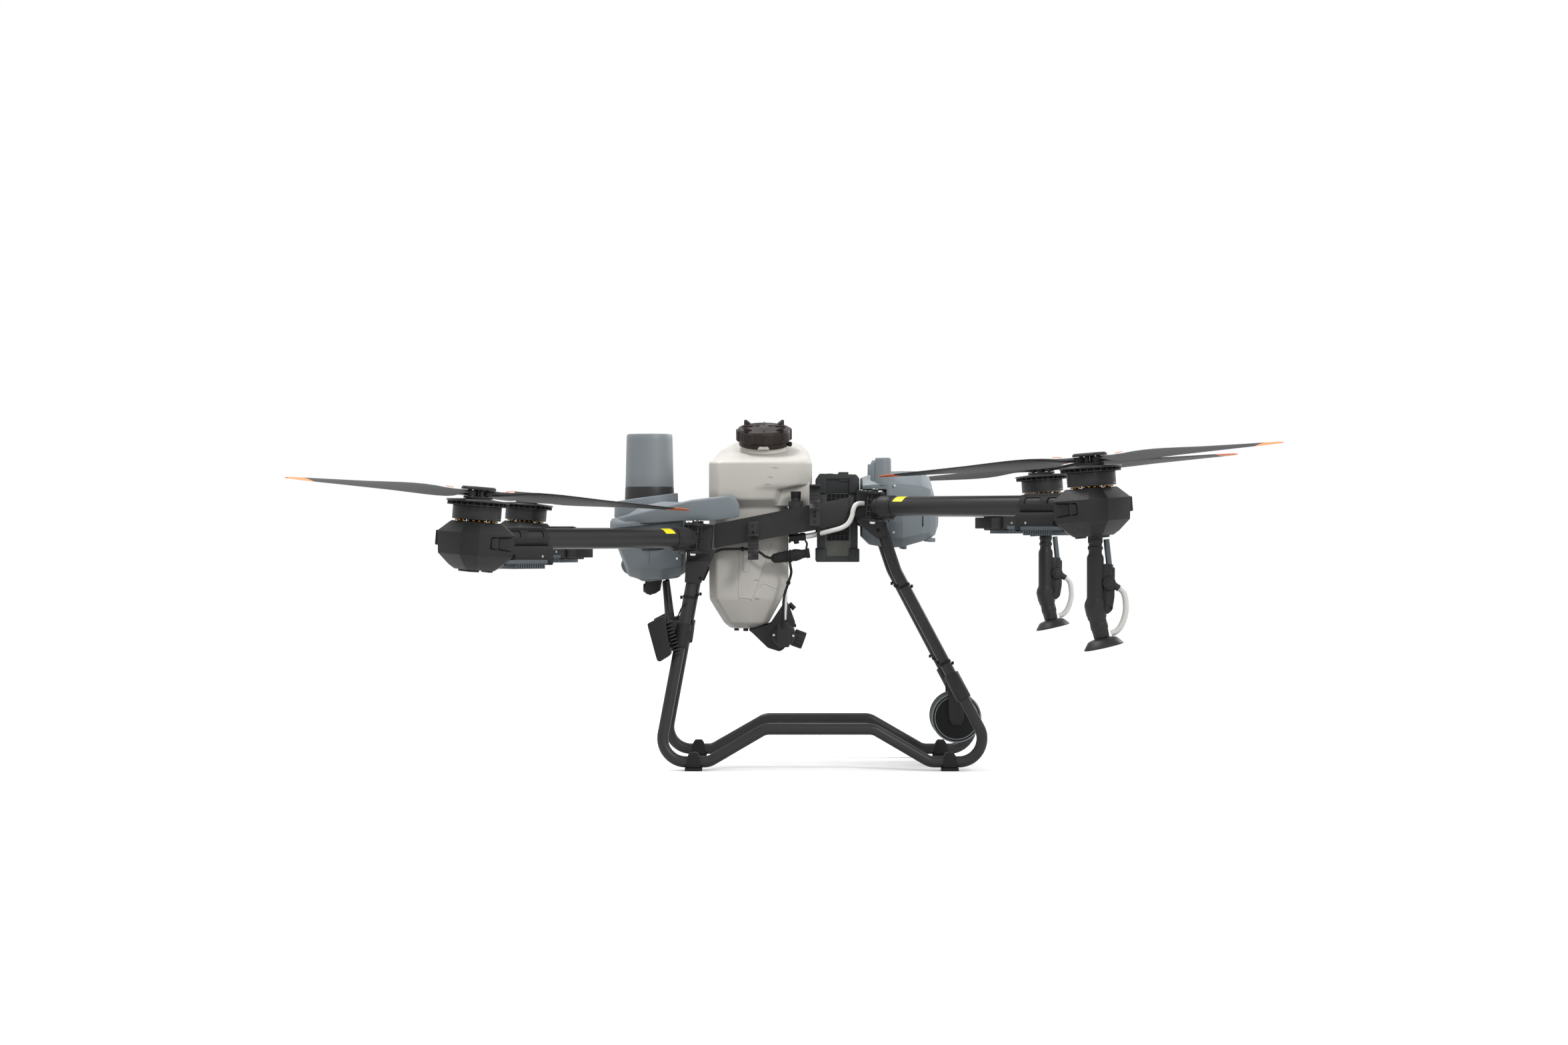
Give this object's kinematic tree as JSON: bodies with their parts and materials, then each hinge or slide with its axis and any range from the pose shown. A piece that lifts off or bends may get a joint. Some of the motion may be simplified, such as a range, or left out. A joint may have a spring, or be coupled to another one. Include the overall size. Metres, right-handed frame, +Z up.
{
  "type": "agricultural spray drone",
  "caption": "Multirotor crop sprayer with folding arms and propellers, sprinklers under the rear motors, a lift-out tank and battery, and bent-tube landing gear",
  "frame": {"origin": "on the ground under the middle of the whole drone with its arms open", "axes": "+X towards the tail, -X the nose, -Y port, +Y starboard, +Z up"},
  "size_m": [2.2148, 2.3796, 0.8563],
  "materials": {
    "frame_black": "satin black anodised casting",
    "tube_grey": "satin dark grey tube",
    "pod_black": "finely textured black moulding",
    "rotor_black": "satin black motor bell",
    "blade_black": "smooth dark carbon-filled composite",
    "latch_steel": "bright latch metal",
    "shell_grey": "textured slate grey moulding",
    "radar_grey": "smooth grey radome",
    "tank_milk": "translucent milky moulding",
    "cap_black": "textured black moulding",
    "pump_black": "textured black moulding",
    "battery_black": "textured black case",
    "light_black": "black finned housing",
    "camera_black": "black barrel with a glass lens",
    "sprinkler_black": "black moulding",
    "hose_white": "smooth white tubing",
    "rubber_black": "black rubber"
  },
  "bodies": {
    "root": {"front_frame": "frame_black", "rear_frame": "frame_black", "port_rail": "frame_black", "starboard_rail": "frame_black", "front_shell": "shell_grey", "front_radar": "radar_grey", "rear_shell": "shell_grey", "port_skid": "tube_grey", "starboard_skid": "tube_grey", "front_port_foot": "rubber_black", "front_starboard_foot": "rubber_black", "rear_port_foot": "rubber_black", "rear_starboard_foot": "rubber_black", "port_spotlight": "light_black", "starboard_spotlight": "light_black", "rear_radar": "pod_black", "rear_radar_bracket": "frame_black", "port_delivery_hose": "hose_white", "starboard_delivery_hose": "hose_white", "pump_cable": "rubber_black"},
    "front_port_arm": {"front_port_hinge_block": "frame_black", "front_port_arm_tube": "tube_grey", "front_port_motor_pod": "pod_black"},
    "front_port_latch": {"front_port_arm_latch": "latch_steel"},
    "front_port_spin": {"front_port_rotor": "rotor_black"},
    "front_port_blade_a": {"front_port_blade_a": "blade_black"},
    "front_port_blade_b": {"front_port_blade_b": "blade_black"},
    "front_starboard_arm": {"front_starboard_hinge_block": "frame_black", "front_starboard_arm_tube": "tube_grey", "front_starboard_motor_pod": "pod_black"},
    "front_starboard_latch": {"front_starboard_arm_latch": "latch_steel"},
    "front_starboard_spin": {"front_starboard_rotor": "rotor_black"},
    "front_starboard_blade_a": {"front_starboard_blade_a": "blade_black"},
    "front_starboard_blade_b": {"front_starboard_blade_b": "blade_black"},
    "rear_port_arm": {"rear_port_hinge_block": "frame_black", "rear_port_arm_tube": "tube_grey", "rear_port_motor_pod": "pod_black", "port_sprinkler_body": "sprinkler_black", "port_sprinkler_hose": "hose_white"},
    "rear_port_latch": {"rear_port_arm_latch": "latch_steel"},
    "rear_port_spin": {"rear_port_rotor": "rotor_black"},
    "rear_port_blade_a": {"rear_port_blade_a": "blade_black"},
    "rear_port_blade_b": {"rear_port_blade_b": "blade_black"},
    "rear_starboard_arm": {"rear_starboard_hinge_block": "frame_black", "rear_starboard_arm_tube": "tube_grey", "rear_starboard_motor_pod": "pod_black", "starboard_sprinkler_body": "sprinkler_black", "starboard_sprinkler_hose": "hose_white"},
    "rear_starboard_latch": {"rear_starboard_arm_latch": "latch_steel"},
    "rear_starboard_spin": {"rear_starboard_rotor": "rotor_black"},
    "rear_starboard_blade_a": {"rear_starboard_blade_a": "blade_black"},
    "rear_starboard_blade_b": {"rear_starboard_blade_b": "blade_black"},
    "port_disc": {"port_sprinkler_disc": "sprinkler_black"},
    "starboard_disc": {"starboard_sprinkler_disc": "sprinkler_black"},
    "tank": {"spray_tank": "tank_milk", "pump_housing": "pump_black"},
    "cap": {"tank_cap": "cap_black"},
    "filter": {"filter_cap": "pump_black"},
    "battery_pack": {"battery": "battery_black"},
    "camera": {"fpv_camera": "camera_black"}
  },
  "joints": [
    {"name": "front_port_fold", "type": "hinge", "parent": "root", "child": "front_port_arm", "pos_m": [-0.2751, -0.2, 0.562], "axis": [-0.0872, 0, -0.9962], "range_deg": [-133.7, 0]},
    {"name": "front_port_latch_open", "type": "hinge", "parent": "front_port_arm", "child": "front_port_latch", "pos_m": [-0.32168, -0.24389, 0.5315], "axis": [-0.6858, 0.7278, 0], "range_deg": [0, 80]},
    {"name": "front_port_propeller_spin", "type": "hinge", "parent": "front_port_arm", "child": "front_port_spin", "pos_m": [-0.75275, -0.6575, 0.66169], "axis": [0.0785, 0, 0.9969], "continuous": true},
    {"name": "front_port_blade_a_fold", "type": "hinge", "parent": "front_port_spin", "child": "front_port_blade_a", "pos_m": [-0.76938, -0.67845, 0.66751], "axis": [0.0785, 0, 0.9969], "range_deg": [-88, 0]},
    {"name": "front_port_blade_b_fold", "type": "hinge", "parent": "front_port_spin", "child": "front_port_blade_b", "pos_m": [-0.73542, -0.63655, 0.66484], "axis": [-0.0785, 0, -0.9969], "range_deg": [-88, 0]},
    {"name": "front_starboard_fold", "type": "hinge", "parent": "root", "child": "front_starboard_arm", "pos_m": [-0.2751, 0.2, 0.562], "axis": [0.0872, 0, 0.9962], "range_deg": [-133.7, 0]},
    {"name": "front_starboard_latch_open", "type": "hinge", "parent": "front_starboard_arm", "child": "front_starboard_latch", "pos_m": [-0.32168, 0.24389, 0.5315], "axis": [0.6858, 0.7278, 0], "range_deg": [0, 80]},
    {"name": "front_starboard_propeller_spin", "type": "hinge", "parent": "front_starboard_arm", "child": "front_starboard_spin", "pos_m": [-0.75275, 0.6575, 0.66169], "axis": [-0.0785, 0, -0.9969], "continuous": true},
    {"name": "front_starboard_blade_a_fold", "type": "hinge", "parent": "front_starboard_spin", "child": "front_starboard_blade_a", "pos_m": [-0.76938, 0.67845, 0.66751], "axis": [-0.0785, 0, -0.9969], "range_deg": [-88, 0]},
    {"name": "front_starboard_blade_b_fold", "type": "hinge", "parent": "front_starboard_spin", "child": "front_starboard_blade_b", "pos_m": [-0.73542, 0.63655, 0.66484], "axis": [0.0785, 0, 0.9969], "range_deg": [-88, 0]},
    {"name": "rear_port_fold", "type": "hinge", "parent": "root", "child": "rear_port_arm", "pos_m": [0.1589, -0.2, 0.639], "axis": [0.0872, 0, 0.9962], "range_deg": [-110, 0]},
    {"name": "rear_port_latch_open", "type": "hinge", "parent": "rear_port_arm", "child": "rear_port_latch", "pos_m": [0.20548, -0.24389, 0.6085], "axis": [-0.6858, -0.7278, 0], "range_deg": [0, 80]},
    {"name": "rear_port_propeller_spin", "type": "hinge", "parent": "rear_port_arm", "child": "rear_port_spin", "pos_m": [0.63742, -0.6575, 0.73876], "axis": [0.0698, 0, -0.9976], "continuous": true},
    {"name": "rear_port_blade_a_fold", "type": "hinge", "parent": "rear_port_spin", "child": "rear_port_blade_a", "pos_m": [0.6541, -0.67845, 0.74443], "axis": [0.0698, 0, -0.9976], "range_deg": [-87, 0]},
    {"name": "rear_port_blade_b_fold", "type": "hinge", "parent": "rear_port_spin", "child": "rear_port_blade_b", "pos_m": [0.62012, -0.63655, 0.74206], "axis": [-0.0698, 0, 0.9976], "range_deg": [-87, 0]},
    {"name": "rear_starboard_fold", "type": "hinge", "parent": "root", "child": "rear_starboard_arm", "pos_m": [0.1589, 0.2, 0.639], "axis": [-0.0872, 0, -0.9962], "range_deg": [-110, 0]},
    {"name": "rear_starboard_latch_open", "type": "hinge", "parent": "rear_starboard_arm", "child": "rear_starboard_latch", "pos_m": [0.20548, 0.24389, 0.6085], "axis": [0.6858, -0.7278, 0], "range_deg": [0, 80]},
    {"name": "rear_starboard_propeller_spin", "type": "hinge", "parent": "rear_starboard_arm", "child": "rear_starboard_spin", "pos_m": [0.63742, 0.6575, 0.73876], "axis": [0.0698, 0, -0.9976], "continuous": true},
    {"name": "rear_starboard_blade_a_fold", "type": "hinge", "parent": "rear_starboard_spin", "child": "rear_starboard_blade_a", "pos_m": [0.657, 0.63929, 0.74464], "axis": [0.0698, 0, -0.9976], "range_deg": [-87, 0]},
    {"name": "rear_starboard_blade_b_fold", "type": "hinge", "parent": "rear_starboard_spin", "child": "rear_starboard_blade_b", "pos_m": [0.61722, 0.67571, 0.74186], "axis": [-0.0698, 0, 0.9976], "range_deg": [-87, 0]},
    {"name": "port_disc_spin", "type": "hinge", "parent": "rear_port_arm", "child": "port_disc", "pos_m": [0.66446, -0.6575, 0.3371], "axis": [-0.225, 0, 0.9744], "continuous": true},
    {"name": "starboard_disc_spin", "type": "hinge", "parent": "rear_starboard_arm", "child": "starboard_disc", "pos_m": [0.66446, 0.6575, 0.3371], "axis": [-0.225, 0, 0.9744], "continuous": true},
    {"name": "tank_lift", "type": "slide", "parent": "root", "child": "tank", "axis": [0, 0, 1], "range_m": [0, 0.45]},
    {"name": "tank_cap_turn", "type": "hinge", "parent": "tank", "child": "cap", "pos_m": [-0.1078, -0.03, 0.8235], "axis": [0, -0.2419, 0.9703], "range_deg": [0, 270]},
    {"name": "filter_cap_turn", "type": "hinge", "parent": "tank", "child": "filter", "pos_m": [-0.0225, -0.03, 0.3113], "axis": [0.9397, 0, -0.342], "range_deg": [0, 270]},
    {"name": "battery_lift", "type": "slide", "parent": "root", "child": "battery_pack", "axis": [0, 0, 1], "range_m": [0, 0.35]},
    {"name": "camera_tilt", "type": "hinge", "parent": "root", "child": "camera", "pos_m": [-0.3831, 0, 0.437], "axis": [0, 1, 0], "range_deg": [-60, 15]}
  ],
  "couplings": [
    {"joint": "front_port_blade_a_fold", "follows": "front_port_fold", "ratio": 0.65},
    {"joint": "front_port_blade_b_fold", "follows": "front_port_fold", "ratio": 0.65},
    {"joint": "front_starboard_blade_a_fold", "follows": "front_starboard_fold", "ratio": 0.65},
    {"joint": "front_starboard_blade_b_fold", "follows": "front_starboard_fold", "ratio": 0.65}
  ]
}
